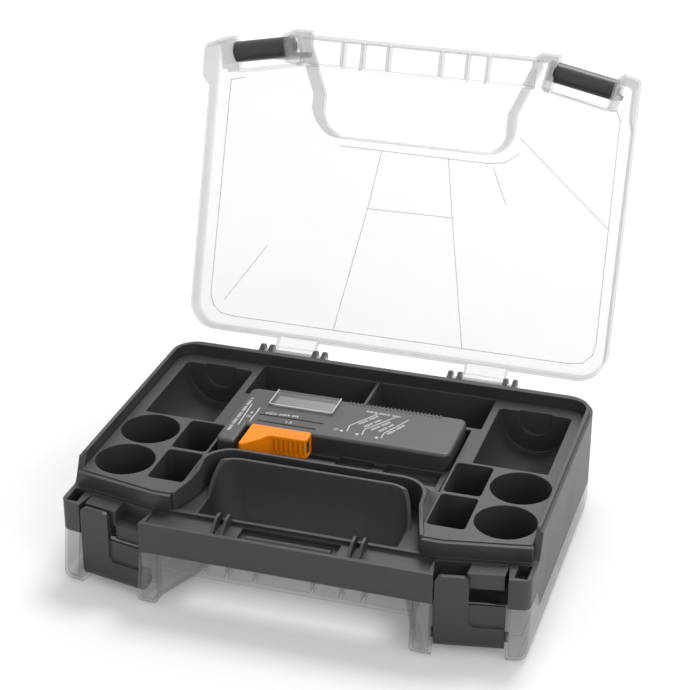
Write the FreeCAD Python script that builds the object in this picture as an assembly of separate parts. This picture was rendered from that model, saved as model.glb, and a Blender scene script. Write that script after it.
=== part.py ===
"""Two-sided hinged battery organiser case with a lift-out battery tester, in millimetres.

X points right, Y points back to the hinges and Z points up. The origin is on the floor plane, in the
middle of the width and midway between the front of the handle and the back wall of the body. Half a
turn about the line x = 0, z = mid height, parallel to Y, carries each lid, latch and hinge of the
upper side onto the one of the lower side. Every piece is drawn with both lids shut, and the upper
lid is then opened for the rest pose.
"""
import FreeCAD, Part
import math
import os

# ---- Driving dimensions: the case as a whole -------------------------------------------------
case_width = 221.0
case_height = 68.5
body_back = 78.0
bar_front = -78.0
front_slant = 10.8          # degrees that the front line turns back beyond the handle bar
back_corner_radius = 14.0
front_corner_radius = 4.0
upper_lid_open = 108.0      # degrees that the upper lid stands open at rest
latch_swing = 180.0         # degrees from shut to fully open

# Body frame
lid_depth = 13.3            # from a lid's face to the rim of the frame
ledge_drop = 2.0            # from the rim to the ledge that the lid's edge rests just above
rim_inset = 1.5             # how far the band above the ledge stands back from the wall
body_wall = 1.8
lug_depth = 26.8            # from a lid's face to the front lugs
ramp_top_y = -47.0
ramp_foot_y = -53.5
ramp_radius = 3.0
riser_drop = 6.2            # from the rim to the top of the riser
riser_wall = 2.3
riser_setback = 14.6        # from the front line to the front face of the riser
shoulder_width = 2.4        # strip between the riser and the mouth of a latch bay
back_wall = 4.8
lug_pocket_depth = 6.0
post_depth = 1.6            # of the ledges behind the riser that carry the trays

# Latch bays, one on each side of the handle
latch_width = 31.2
latch_play = 0.69           # between a latch and each side wall of its bay
bay_from_side = 9.6         # from the case's side to a bay
catch_setback = 3.3         # from the front line to the face of a catch block
inner_catch_width = 13.7
catch_past_middle = 0.3     # how far each catch block reaches past the middle height

# Handle
pan_drop = 1.8              # from the lugs to the floor of the handle's pan
pan_floor = 1.8
bar_wall = 2.2
bar_depth = 16.5            # front to back
hand_hole_from_side = 63.1
hand_hole_back = -32.2
hand_hole_radius = 12.0
hand_wall = 1.6
hand_ramp_top_y = -34.5
hand_ramp_foot_y = -43.4
fin_x = (29.7, 34.3)
fin_wall = 1.3
fin_height = 4.3            # above the lugs
grip_recess_half = 23.3
grip_recess_depth = 2.6
grip_ridge_half = 20.0
grip_ridge_radius = 2.0

# Upper tray
deck_drop = 5.8             # from the rim to the deck of a tray
tray_plate = 2.0
tray_wall = 1.4
tray_gap = 0.3              # between a tray and the frame around it
cutout_from_side = (51.7, 58.1)     # hand cut-out of the trays: at its front and at its rear corners
cutout_straight_y = -42.0
cutout_back = -24.4
cutout_radius = 13.0
hood_ramp_y = (-48.0, -36.0)    # where the hood's top edge rises from the deck to its full height
hood_ramp_step = 1.5
large_pocket_from_side = 9.7
large_pocket_width = 36.1
large_pocket_y = (7.4, 62.8)
large_pocket_floor = 27.0
large_arc_radius = 17.0
large_arc_step = 1.2
small_arc_radius = 8.1
round_hole_radius = 14.3
round_hole_from_side = 19.0
round_hole_y = (-38.6, -8.1)
round_hole_floor = 16.5
round_hole_wall = 1.0
block_pocket_from_side = 34.9
block_pocket_width = 17.7
block_pocket_y = ((-50.5, -23.3), (-21.2, 6.0))
block_pocket_floor = 18.0
block_pocket_radius = 2.0
back_room_from_side = 49.5
back_room_y = (40.0, 71.5)
back_room_floor = 30.0
room_divider = 1.6

# Lower tray: troughs for thin cells
pencil_radius = 7.6
pencil_length = 51.5
pencil_pitch = 15.9
pencil_front_y = -20.0
slim_radius = 5.6
slim_length = 45.5
slim_count = 4
slim_pitch = 15.0
slim_start_y = 15.0
trough_axis_below_deck = 1.0

# Lids
lid_wall = 1.2
lid_gap = 0.2               # between a lid's edge and the body frame
lid_round = 5.0             # outer edge of the lid's face
column_slope = 4.2          # how far the lid's front leans out at its face
lid_bar_height = 7.2
lid_hand_clearance = 0.5    # between the hand hole's wall and the lid's wall round it
lid_hand_rise = 2.3         # from the lugs to the lid's edge in front of the hand hole's ramp
lid_hand_drop = 4.7         # from the rim to the lid's edge behind that ramp
lid_hand_taper_y = (-74.0, -50.0)
lid_rib = 1.2
lid_clip_x = (26.9, 37.2)
lid_mid_rib_x = 13.5
lid_hand_from_bay = 9.4     # from a bay to the lid's hand hole, at the hole's front
lid_hand_radius = 12.0
lid_ramp_setback = 0.35

# Hinges
hinge_axis_y = 85.2
hinge_drop = 4.7            # from the rim to the hinge axis
hinge_ear_x = (33.6, 38.5, 62.3, 67.1)
hinge_ear_wall = 1.8
hinge_ear_radius = 3.9
hinge_web = 1.6
pin_radius = 1.45
pin_clearance = 0.08
knuckle_radius = 3.5
knuckle_gap = 0.3
knuckle_arm = 2.2
stop_tab_half = 4.0
stop_tab_wall = 2.0
stop_gap = 0.15

# Latches
latch_wall = 2.3
latch_leg_width = 15.0
latch_tip_gap = 0.7         # from the far lug's face up to the tip of a leg
latch_plate_top = 15.8
latch_tip_chamfer = 3.0
latch_corner_radius = 3.0
latch_web_inset = 1.1       # from a latch's face to the web beside its leg
barrel_radius = 5.25
barrel_from_face = 8.5      # barrel axis to the lid's outer face
barrel_setback = 5.3        # barrel axis to the front line
stub_radius = 2.2
stub_clearance = 0.1
stub_reach = 1.4            # from the barrel's end into the lid's wall
catch_ridge = 0.6
catch_ridge_gap = 0.2       # from a catch block down to the ridge under it
catch_ridge_height = 1.6

# Battery tester
tester_from_side = 55.5     # the pockets beside the tester take this much on each side
tester_above_rim = 0.2
tester_bottom = 31.6
tester_front = -22.0        # front of the shelf that the slider runs on
tester_main_front = 0.4     # front of the full-height housing
tester_back = 37.2
tester_gap = 0.5            # round the tester in its recess
tester_wall = 1.6
cover_height = 9.2          # upper housing half, above the parting plane and the slider's shelf
tester_corner = 4.0
tester_top_round = 1.6
lobe_width = 9.8
lobe_front = -16.5
window_from_left = 13.5
window_width = 32.9
window_y = (21.4, 37.0)
window_height = 1.0
display_clearance = 0.3
slider_from_left = 13.0
slider_length = 30.0
slider_front = -21.6        # where the jaw at the left end would end in a sharp tip
slider_grip_y = -8.5        # ribbed front face beside the jaw
jaw_width = (11.0, 8.5)     # at the grip's face and at the bend of the jaw's slanted side
jaw_bend_y = -13.2
slider_above_tester = 1.2
slider_room = 48.0          # what the slider and its end stops take of the tester's length
slider_gap = 0.3
slider_round = 1.2
slider_edge = 0.7
board_thickness = 1.6
screw_radius = 1.4
screw_head_radius = 2.6
screw_head_depth = 2.4
screw_inset = 6.0           # from the housing's sides to a screw's axis
screw_bite = 6.0            # how far a screw reaches into the upper half
contact_sheet = 0.5
contact_depth = 1.2         # how deep the slider's contact lies in its end
contact_y = (-7.0, -2.0)
shelf_thickness = 5.0
tongue_inset = 3.0          # from the slider's ends to the ends of its tongue
track_y = (-6.5, -2.5)
wells_from_right = ((53.0, 35.5), (29.5, 2.5))
well_y = (-19.0, -0.6)
well_depth = 3.8
well_strip_y = (-18.6, -8.6)    # the metal strips, in front of the slider's track
window_seat = 1.5
groove_from_left = ((12.2, 44.8), (13.2, 43.1))
groove_y = ((11.1, 12.1), (4.8, 5.8))
groove_depth = 0.6
slider_rib_inset = (13.0, 2.4)
slider_rib_pitch = 2.4
display_drop = 2.4          # from the tester's top to the dial's underside
board_share = 0.52          # height of the board between the tester's floor and its parting plane
chip_from_right = 45.0
chip_size = (9.0, 6.0)
chip_top = 1.4              # above the board
chip_gap = 5.0
stud_y = (10.5, 23.2)        # block-cell contacts in the left end, as far apart as such a cell's studs
stud_radius = 3.0

# ---- Derived values --------------------------------------------------------------------------
mid_z = case_height / 2
half_width = case_width / 2
slant = math.tan(math.radians(front_slant))
slant_cos = math.cos(math.radians(front_slant))
slant_sin = math.sin(math.radians(front_slant))
rim_top = case_height - lid_depth       # the lower rim is the half-turn image of the upper one
rim_ledge = rim_top - ledge_drop
lug_top = case_height - lug_depth
riser_top = rim_top - riser_drop
bay_outer_x = half_width - bay_from_side
bay_inner_x = bay_outer_x - (latch_width + 2 * latch_play) * slant_cos
catch_split_x = bay_inner_x + inner_catch_width
outer_catch_low = mid_z - catch_past_middle
inner_catch_top = mid_z + catch_past_middle
pan_floor_top = lug_top - pan_drop
hand_hole_half = half_width - hand_hole_from_side
fin_top = lug_top + fin_height
deck_top = rim_top - deck_drop
cutout_front_x = half_width - cutout_from_side[0]
cutout_back_x = half_width - cutout_from_side[1]
hood_top = rim_top
large_pocket_x = (half_width - large_pocket_from_side - large_pocket_width,
                  half_width - large_pocket_from_side)
round_hole_x = half_width - round_hole_from_side
block_pocket_x = (half_width - block_pocket_from_side - block_pocket_width,
                  half_width - block_pocket_from_side)
back_room_half = half_width - back_room_from_side
pencil_count = int((2 * block_pocket_x[0] - tray_wall) / pencil_pitch)
lid_hand_low = lug_top + lid_hand_rise
lid_hand_back_low = rim_top - lid_hand_drop
hinge_axis_z = rim_top - hinge_drop
tester_right = half_width - tester_from_side
tester_left = -tester_right
tester_top = rim_top + tester_above_rim
tester_split = tester_top - cover_height
window_x = (tester_left + window_from_left, tester_left + window_from_left + window_width)
slider_x = (tester_left + slider_from_left, tester_left + slider_from_left + slider_length)
slider_top = tester_top + slider_above_tester
slider_travel = 2 * tester_right - slider_room
slider_rib_x = (slider_x[0] + slider_rib_inset[0], slider_x[1] - slider_rib_inset[1])
well_x = [(tester_right - near, tester_right - far) for near, far in wells_from_right]
display_low = tester_top - display_drop
bar_half = bay_inner_x - 0.5
inner_half = half_width - rim_inset - body_wall
lid_edge = rim_ledge + lid_gap
lid_low = lug_top + lid_gap
lug_low = case_height - lug_top
outer_catch_top = lug_top - 0.2
inner_catch_low = lug_low + 0.4
catch_ridge_top = outer_catch_low - catch_ridge_gap
latch_tip = lug_low + latch_tip_gap
board_low = (tester_bottom + tester_wall) * (1 - board_share) + tester_split * board_share
pan_underside = pan_floor_top - pan_floor
hand_outer_half = hand_hole_half + hand_wall
hand_outer_back = hand_hole_back + hand_wall
tray_under = deck_top - tray_plate
bar_back = bar_front + bar_depth
grip_recess_y = (bar_front + bar_wall + 0.9, bar_back - 3.0)
slim_trough_low = deck_top + trough_axis_below_deck - slim_radius - tray_wall
slim_back = slim_start_y + slim_pitch * (slim_count - 1) + slim_radius + tray_wall
lid_bar_back = bar_front + riser_setback - lid_gap
lid_hand_half = (bay_inner_x - lid_hand_from_bay, hand_outer_half + lid_hand_clearance)
lid_hand_back = hand_outer_back + lid_hand_clearance
track_x = (slider_x[0] + tongue_inset - 1, slider_x[1] - tongue_inset + slider_travel + 1)
bay_near = (bay_inner_x - bar_half) / slant_cos      # along the front line, from the handle bar
bay_far = (bay_outer_x - bar_half) / slant_cos
bay_depth = riser_setback * slant_cos
over = 5.0                  # how far cutting shapes run past what they cut


def point(x, y, z):
    """A FreeCAD vector."""
    return FreeCAD.Vector(x, y, z)


def box(xs, ys, zs):
    """A box between two values along each axis, given in any order."""
    low = [min(pair) for pair in (xs, ys, zs)]
    size = [abs(pair[1] - pair[0]) for pair in (xs, ys, zs)]
    return Part.makeBox(*size, point(*low))


def rounded_face(corners, place):
    """A face from (u, v, radius) corners, each rounded by a tangent arc; place maps (u, v) to 3-D."""
    vertices = [FreeCAD.Vector(u, v, 0) for u, v, _ in corners]
    edges = []
    ends = []
    for i, (_, _, radius) in enumerate(corners):
        here = vertices[i]
        back = (vertices[i - 1] - here).normalize()
        ahead = (vertices[(i + 1) % len(vertices)] - here).normalize()
        if radius <= 0:
            ends.append((here, here, None))
            continue
        half_angle = back.getAngle(ahead) / 2
        reach = radius / math.tan(half_angle)
        bisector = (back + ahead).normalize()
        middle = here + bisector * (radius / math.sin(half_angle) - radius)
        ends.append((here + back * reach, here + ahead * reach, middle))
    for i, (start, end, middle) in enumerate(ends):
        if middle is not None:
            edges.append(Part.Arc(*(place(p.x, p.y) for p in (start, middle, end))).toShape())
        following = ends[(i + 1) % len(ends)][0]
        if (following - end).Length > 1e-6:
            edges.append(Part.makeLine(place(end.x, end.y), place(following.x, following.y)))
    return Part.Face(Part.Wire(edges))


def plan_face(corners, z):
    """A face in a level plane from (x, y, radius) corners."""
    return rounded_face(corners, lambda u, v: point(u, v, z))


def plan_prism(corners, low, high):
    """A prism that stands on a plan outline."""
    return plan_face(corners, low).extrude(point(0, 0, high - low))


def side_prism(corners, x_low, x_high):
    """A prism along X on an outline of (y, z, radius) corners."""
    face = rounded_face(corners, lambda u, v: point(x_low, u, v))
    return face.extrude(point(x_high - x_low, 0, 0))


def cylinder(centre, direction, radius, length):
    """A cylinder from centre along direction."""
    return Part.makeCylinder(radius, length, centre, direction)


def mirrored(shape):
    """The shape's mirror image in the plane x = 0."""
    return shape.mirror(point(0, 0, 0), point(1, 0, 0))


def both_sides(shape):
    """The shape and its mirror image as one compound of tools."""
    return [shape, mirrored(shape)]


def half_turn(shape):
    """The shape carried to the other face of the case."""
    turned = shape.copy()
    turned.rotate(point(0, 0, mid_z), point(0, 1, 0), 180)
    return turned


def opened(shape):
    """A piece of the upper lid, turned from shut to its rest pose."""
    turned = shape.copy()
    turned.rotate(point(0, hinge_axis_y, hinge_axis_z), point(-1, 0, 0), upper_lid_open)
    return turned


def front_y(x, behind=0.0):
    """The front line at x, or the line that lies so far behind it."""
    beyond = max(abs(x) - bar_half, 0.0)
    return bar_front + beyond * slant + behind


def mirror_outline(half):
    """A closed symmetric outline from its right half, front to back."""
    left = [(-x, y, radius) for x, y, radius in reversed(half)]
    return half + left


# ---- Body frame ------------------------------------------------------------------------------
def case_outline(inset, front_shift=0.0):
    """Plan outline of the whole case, moved inwards by inset and its front by front_shift."""
    corner_x = half_width - inset
    front = front_shift - inset
    half = [
        (bar_half, bar_front - front, 0.0),
        (corner_x, front_y(half_width) - front, max(front_corner_radius - inset, 0.5)),
        (corner_x, body_back - inset, max(back_corner_radius - inset, 1.0)),
    ]
    return mirror_outline(half)


def body_profile():
    """Side view of the frame: low front lugs and bar, ramps, then the full-height rim."""
    upper = [
        (bar_front - over, lug_top, 0.0),
        (ramp_foot_y, lug_top, ramp_radius),
        (ramp_top_y, rim_top, ramp_radius),
        (body_back + over, rim_top, 0.0),
    ]
    lower = [(y, case_height - z, radius) for y, z, radius in reversed(upper)]
    return upper + lower


def hand_outline(half, back, radius, front):
    """U-shaped outline of the hand hole and the walls round it."""
    return mirror_outline([(half, front, 0.0), (half, back, radius)])


def cutout_outline(grow, front):
    """Outline of the hand cut-out in the trays, moved outwards by grow."""
    rate = (cutout_front_x - cutout_back_x) / (cutout_straight_y - front_y(0, riser_setback))
    front_half = cutout_back_x + (cutout_straight_y - front) * rate
    return mirror_outline([
        (front_half + grow, front, 0.0),
        (cutout_back_x + grow, cutout_straight_y, 0.0),
        (cutout_back_x + grow, cutout_back + grow, cutout_radius + grow),
    ])


def bay_plan(u, v):
    """Plan place of a point u along the right front line from the handle bar and v behind it."""
    return bar_half + u * slant_cos - v * slant_sin, bar_front + u * slant_sin + v * slant_cos


def bay_prism(us, vs, low, high, radius=0.0):
    """A prism on a rectangle in the right bay's own directions, its rear corners rounded."""
    corners = [(*bay_plan(us[0], vs[0]), 0.0), (*bay_plan(us[1], vs[0]), 0.0),
               (*bay_plan(us[1], vs[1]), radius), (*bay_plan(us[0], vs[1]), radius)]
    return plan_prism(corners, low, high)


def catch_block(x_near, x_far, low, high):
    """A block in the right bay that a latch leg snaps onto."""
    reach = riser_setback - shoulder_width + 1.0
    corners = [
        (x_near, front_y(x_near, catch_setback), 0.0),
        (x_far, front_y(x_far, catch_setback), 0.0),
        (x_far, front_y(x_far, reach), 0.0),
        (x_near, front_y(x_near, reach), 0.0),
    ]
    return plan_prism(corners, low, high)


def riser_line(x, behind=0.0):
    """The front face of the riser, straight from the handle to the side wall."""
    return front_y(x, riser_setback + behind)


def interior_outline(inset=0.0):
    """Plan outline of the room for the trays, without the handle, moved inwards by inset."""
    back = body_back - back_wall - inset
    side = inner_half - inset
    return mirror_outline([
        (bar_half, riser_line(bar_half, riser_wall + inset), 0.0),
        (side, riser_line(side, riser_wall + inset), 2.0),
        (side, back, back_corner_radius - back_wall),
    ])


def riser():
    """The upright strip between the front shoulder and the right half of the trays."""
    ends = (cutout_front_x + tray_gap, bar_half, inner_half + 0.5)
    front = [(x, riser_line(x), 0.0) for x in ends]
    back = [(x, riser_line(x, riser_wall), 0.0) for x in reversed(ends)]
    return plan_prism(front + back, case_height - riser_top, riser_top)


def hinge_ear(x):
    """One ear of the body frame round the upper hinge axis."""
    low = hinge_axis_z - 6.5
    root = body_back - 1.0
    arm = side_prism([
        (root, low, 0.0),
        (hinge_axis_y, hinge_axis_z - hinge_ear_radius, 0.0),
        (hinge_axis_y, hinge_axis_z + hinge_ear_radius, 0.0),
        (root, hinge_axis_z + 1.5, 0.0),
    ], x - hinge_ear_wall / 2, x + hinge_ear_wall / 2)
    centre = point(x - hinge_ear_wall / 2, hinge_axis_y, hinge_axis_z)
    disc = cylinder(centre, point(1, 0, 0), hinge_ear_radius, hinge_ear_wall)
    return arm.fuse(disc)


def hinge_webs(x_near, x_far):
    """The web under a pair of ears."""
    low = hinge_axis_z - 6.5
    return side_prism([
        (body_back - 1.0, low, 0.0),
        (hinge_axis_y, hinge_axis_z - hinge_ear_radius, 0.0),
        (hinge_axis_y, hinge_axis_z - hinge_ear_radius + hinge_web, 0.0),
        (body_back - 1.0, low + hinge_web, 0.0),
    ], x_near, x_far)


def hinge_ears():
    """All ears and webs of the right upper hinge, with the hole for its pin."""
    ears = hinge_ear(hinge_ear_x[0])
    for x in hinge_ear_x[1:]:
        ears = ears.fuse(hinge_ear(x))
    ears = ears.fuse(hinge_webs(hinge_ear_x[0], hinge_ear_x[1]))
    ears = ears.fuse(hinge_webs(hinge_ear_x[2], hinge_ear_x[3]))
    start = point(hinge_ear_x[0] - over, hinge_axis_y, hinge_axis_z)
    length = hinge_ear_x[3] - hinge_ear_x[0] + 2 * over
    hole = cylinder(start, point(1, 0, 0), pin_radius + pin_clearance, length)
    return ears.cut(hole)


def body_half_cuts():
    """What is taken from the upper half of the frame: rabbet, pan, lug pockets and grip recess."""
    cuts = []
    block = box((-half_width - over, half_width + over), (ramp_top_y - 8, body_back + over),
                (rim_ledge, rim_top + over))
    band = plan_prism(case_outline(rim_inset), rim_ledge - 1, rim_top + 2 * over)
    cuts.append(block.cut(band))
    front = bar_front + bar_wall
    pan = plan_prism(cutout_outline(0.0, bar_back + 0.5), pan_floor_top, rim_top + over)
    bar_pan = box((-bar_half + bar_wall, bar_half - bar_wall), (front, riser_line(0)),
                  (pan_floor_top, rim_top + over))
    hand_wall_block = plan_prism(
        hand_outline(hand_outer_half, hand_outer_back, hand_hole_radius + hand_wall, bar_back),
        pan_floor_top - 1, rim_top)
    above_ramp = side_prism([
        (bar_front, pan_floor_top, 0.0),
        (hand_ramp_foot_y, pan_floor_top, 0.0),
        (hand_ramp_top_y, rim_top + 0.01, 0.0),
        (hand_ramp_top_y, rim_top + over, 0.0),
        (bar_front, rim_top + over, 0.0),
    ], -half_width, half_width)
    cuts.append(pan.fuse(bar_pan).cut(hand_wall_block.cut(above_ramp)))
    shoulder = plan_prism([
        (-half_width - over, riser_line(half_width), 0.0),
        (-bar_half, riser_line(0), 0.0),
        (bar_half, riser_line(0), 0.0),
        (half_width + over, riser_line(half_width), 0.0),
        (half_width + over, bar_front - over, 0.0),
        (-half_width - over, bar_front - over, 0.0),
    ], lug_top, rim_top + over)
    keep = plan_prism(case_outline(rim_inset), lug_top - 1, rim_top + 2 * over)
    side_band = box((-inner_half, inner_half), (bar_front - over, ramp_top_y), (lug_top, rim_top + over))
    cuts.append(shoulder.common(keep).common(side_band))
    for shape in both_sides(box((bay_outer_x + body_wall, half_width - body_wall - 0.4),
                                (front_y(bay_outer_x) + bar_wall + 0.6, riser_line(bay_outer_x) - 1.0),
                                (lug_top - lug_pocket_depth, lug_top + over))):
        cuts.append(shape)
    cuts.append(box((-grip_recess_half, grip_recess_half), grip_recess_y,
                    (pan_floor_top - grip_recess_depth, pan_floor_top + over)))
    return cuts


def grip_ridge():
    """The half-round finger ridge along the upper grip recess."""
    start = point(-grip_ridge_half, sum(grip_recess_y) / 2, pan_floor_top - grip_recess_depth)
    return cylinder(start, point(1, 0, 0), grip_ridge_radius, 2 * grip_ridge_half)


def bar_fin(x):
    """An arched fin that stands across the handle bar."""
    front = bar_front + bar_wall - 0.5
    back = bar_back - 0.8
    return side_prism([
        (front, pan_floor_top - 1, 0.0),
        (front, lug_top - 0.4, 1.0),
        (back - 6.5, fin_top, 4.0),
        (back, fin_top, 3.0),
        (back, pan_floor_top - 1, 0.0),
    ], x - fin_wall / 2, x + fin_wall / 2)


def tray_posts():
    """Posts on the inside of the frame that carry both trays."""
    low = case_height - tray_under
    side_x = (large_pocket_x[1] + tray_wall + tray_gap, inner_half + 0.5)
    above_troughs = case_height - slim_trough_low + tray_gap
    side = box(side_x, (large_pocket_y[0] + 2, large_pocket_y[1] - 6), (above_troughs, tray_under))
    back = box((large_pocket_x[0], inner_half - 8), (slim_back + tray_gap, body_back - 2), (low, tray_under))
    front = plan_prism([
        (bay_inner_x, riser_line(bay_inner_x, 1), 0.0),
        (bay_outer_x, riser_line(bay_outer_x, 1), 0.0),
        (bay_outer_x, riser_line(bay_outer_x, riser_wall + post_depth), 0.0),
        (bay_inner_x, riser_line(bay_inner_x, riser_wall + post_depth), 0.0),
    ], low, tray_under)
    return both_sides(side) + both_sides(back) + both_sides(front)


def body_frame():
    """The dark frame between the lids: rim, front lugs, latch bays, handle and hinge ears."""
    low, high = case_height - rim_top, rim_top
    solid = plan_prism(case_outline(0.0), low - over, high + over)
    solid = solid.common(side_prism(body_profile(), -half_width - over, half_width + over))
    handle_zone = plan_prism(cutout_outline(0.0, riser_line(0) - over), low - over, high + over)
    interior = plan_prism(interior_outline(), low - over, high + over).cut(handle_zone)
    hand_hole = plan_prism(hand_outline(hand_hole_half, hand_hole_back, hand_hole_radius, bar_back),
                           low - over, high + over)
    between_pans = plan_prism(cutout_outline(0.1, bar_back + bar_wall),
                              case_height - pan_underside, pan_underside)
    hand_solid = plan_prism(
        hand_outline(hand_outer_half, hand_outer_back, hand_hole_radius + hand_wall, bar_back - over),
        low, high)
    cuts = [interior, hand_hole, between_pans.cut(hand_solid)]
    half_cuts = body_half_cuts()
    cuts += half_cuts + [half_turn(shape) for shape in half_cuts]
    depth = (riser_setback - shoulder_width) * slant_cos
    cuts += both_sides(bay_prism((bay_near, bay_far), (-over, depth), low, high, 1.0))
    solid = solid.cut(cuts)
    blocks = [
        catch_block(catch_split_x, bay_outer_x - 2.2, outer_catch_low, outer_catch_top),
        catch_block(bay_inner_x - 0.5, catch_split_x, inner_catch_low, inner_catch_top),
    ]
    parts = []
    for block in blocks:
        parts += both_sides(block)
    parts += tray_posts() + both_sides(riser()) + [grip_ridge(), half_turn(grip_ridge())]
    fins = [bar_fin(sign * x) for x in fin_x for sign in (-1, 1)]
    ears = both_sides(hinge_ears())
    parts += fins + [half_turn(fin) for fin in fins] + ears + [half_turn(ear) for ear in ears]
    solid = solid.fuse(parts)
    return solid.removeSplitter()


# ---- Hinge pins ------------------------------------------------------------------------------
def hinge_pins():
    """The two steel pins of the upper hinges."""
    start = hinge_ear_x[0] - hinge_ear_wall / 2 - 0.4
    end = hinge_ear_x[3] + hinge_ear_wall / 2 + 0.4
    pin = cylinder(point(start, hinge_axis_y, hinge_axis_z), point(1, 0, 0), pin_radius, end - start)
    return Part.makeCompound(both_sides(pin))


# ---- Trays -----------------------------------------------------------------------------------
def hood_height(y):
    """Height of the hood's top edge beside the hand cut-out."""
    steps = [(riser_line(0), deck_top + 0.3), (hood_ramp_y[0], deck_top + hood_ramp_step),
             (hood_ramp_y[1], hood_top)]
    for (y_near, z_near), (y_far, z_far) in zip(steps[:-1], steps[1:]):
        if y <= y_far:
            return z_near + (z_far - z_near) * max(y - y_near, 0) / (y_far - y_near)
    return hood_top


def hood():
    """The raised wall round the hand cut-out, with its sloping flanks."""
    front = riser_line(0, riser_wall + tray_gap)
    ring = plan_prism(cutout_outline(hand_wall, front), pan_floor_top + tray_gap, hood_top)
    ring = ring.cut(plan_prism(cutout_outline(0.0, front - over), pan_floor_top - over, hood_top + over))
    top = [(y, hood_height(y), 0.0) for y in (front - 1, *hood_ramp_y)]
    above = [(cutout_back, hood_top + over, 0.0), (front - 1, hood_top + over, 0.0)]
    ring = ring.cut(side_prism(top + above, -half_width, half_width))
    flanks = []
    rate = (cutout_front_x - cutout_back_x) / (cutout_straight_y - riser_line(0))
    stations = (front + 1.5, (front + cutout_straight_y) / 2, cutout_straight_y)
    straight = [(y, cutout_back_x + (cutout_straight_y - y) * rate) for y in stations]
    arc_centre = (cutout_back_x - cutout_radius, cutout_back - cutout_radius)
    curved = []
    for angle in (20.0, 45.0, 70.0):
        turn = math.radians(angle)
        curved.append((arc_centre[1] + cutout_radius * math.sin(turn),
                       arc_centre[0] + cutout_radius * math.cos(turn)))
    for y, x in straight + curved:
        root = x + hand_wall / 2
        foot = max(block_pocket_x[0] - tray_wall / 2, x + hand_wall + 0.6)
        corners = [point(root, y, deck_top - 1), point(foot, y, deck_top - 1),
                   point(foot, y, deck_top + 0.05), point(root + hand_wall / 2, y, hood_height(y) - 0.1),
                   point(root, y, hood_height(y) - 0.1)]
        flanks.append(Part.makePolygon(corners + corners[:1]))
    flank = Part.makeLoft(flanks, True, True)
    return ring.fuse(both_sides(flank))


def pocket_shell(xs, ys, floor, radius=0.0, wall=None):
    """A box-shaped pocket as (solid round it, space inside it)."""
    wall = tray_wall if wall is None else wall
    def outline(grow):
        return [(x, y, radius + grow if radius else 0.0) for x, y in (
            (xs[0] - grow, ys[0] - grow), (xs[1] + grow, ys[0] - grow),
            (xs[1] + grow, ys[1] + grow), (xs[0] - grow, ys[1] + grow))]
    return (plan_prism(outline(wall), floor - wall, deck_top),
            plan_prism(outline(0.0), floor, deck_top + over))


def large_pocket():
    """The right large-cell pocket: a round-bottomed trough with stepped arcs at its back."""
    middle = (large_pocket_x[0] + large_pocket_x[1]) / 2
    radius = (large_pocket_x[1] - large_pocket_x[0]) / 2
    axis_z = large_pocket_floor + radius
    front, back = large_pocket_y
    deep_back = back + 2 * large_arc_step + tray_wall
    shell = box((large_pocket_x[0] - tray_wall, large_pocket_x[1] + tray_wall),
                (front - tray_wall, deep_back), (axis_z, deck_top))
    start = point(middle, front - tray_wall, axis_z)
    shell = shell.fuse(cylinder(start, point(0, 1, 0), radius + tray_wall, deep_back - front + tray_wall))
    space = box(large_pocket_x, large_pocket_y, (axis_z, deck_top + 2 * radius))
    space = space.fuse(cylinder(point(middle, front, axis_z), point(0, 1, 0), radius, back - front))
    for step, arc in ((1, large_arc_radius), (2, small_arc_radius)):
        depth = back - front + step * large_arc_step
        space = space.fuse(cylinder(point(middle, front, axis_z), point(0, 1, 0), arc, depth))
        space = space.fuse(box((middle - arc, middle + arc), (front, front + depth),
                               (axis_z, deck_top + arc)))
    below_deck = box((-half_width, half_width), (-over, body_back), (0, deck_top))
    return shell.common(below_deck), space


def round_hole(y):
    """The right standing-cell cup at y."""
    low = point(round_hole_x, y, round_hole_floor)
    under = point(round_hole_x, y, round_hole_floor - round_hole_wall)
    height = deck_top - round_hole_floor
    shell = cylinder(under, point(0, 0, 1), round_hole_radius + round_hole_wall, height + round_hole_wall)
    return shell, cylinder(low, point(0, 0, 1), round_hole_radius, height + over)


def tray_blank():
    """A deck plate with the hand cut-out and its hood."""
    plate = plan_prism(interior_outline(tray_gap), tray_under, deck_top)
    return plate.cut(plan_prism(cutout_outline(0.0, riser_line(0) - over), 0, case_height)).fuse(hood())


def tester_recess():
    """The recess that holds the tester, as (solid round it, space inside it)."""
    half = tester_right + tester_gap + 1.2
    return pocket_shell((-half, half), (cutout_back + hand_wall, tester_back + tester_gap), tester_bottom)


def upper_tray():
    """The tray in the upper side: cells, blocks, the tester's recess and two open rooms."""
    shells = []
    spaces = []
    sides = [large_pocket()] + [round_hole(y) for y in round_hole_y]
    sides += [pocket_shell(block_pocket_x, ys, block_pocket_floor, block_pocket_radius)
              for ys in block_pocket_y]
    rooms = [pocket_shell((room_divider / 2, back_room_half), back_room_y, back_room_floor)]
    for shell, space in sides + rooms:
        shells += both_sides(shell)
        spaces += both_sides(space)
    shell, space = tester_recess()
    shells.append(shell)
    spaces.append(space)
    tray = tray_blank().fuse(shells).cut(spaces)
    return tray.removeSplitter()


def trough(middle, along, radius, length):
    """A half-round trough under the deck, as (solid round it, space inside it)."""
    axis_z = deck_top + trough_axis_below_deck
    centre = point(middle[0], middle[1], axis_z)
    grow = along * tray_wall
    shell = cylinder(centre - along * (length / 2) - grow, along, radius + tray_wall,
                     length + 2 * tray_wall)
    below_deck = box((-half_width, half_width), (bar_front, body_back), (0, deck_top))
    return shell.common(below_deck), cylinder(centre - along * (length / 2), along, radius, length)


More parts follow.
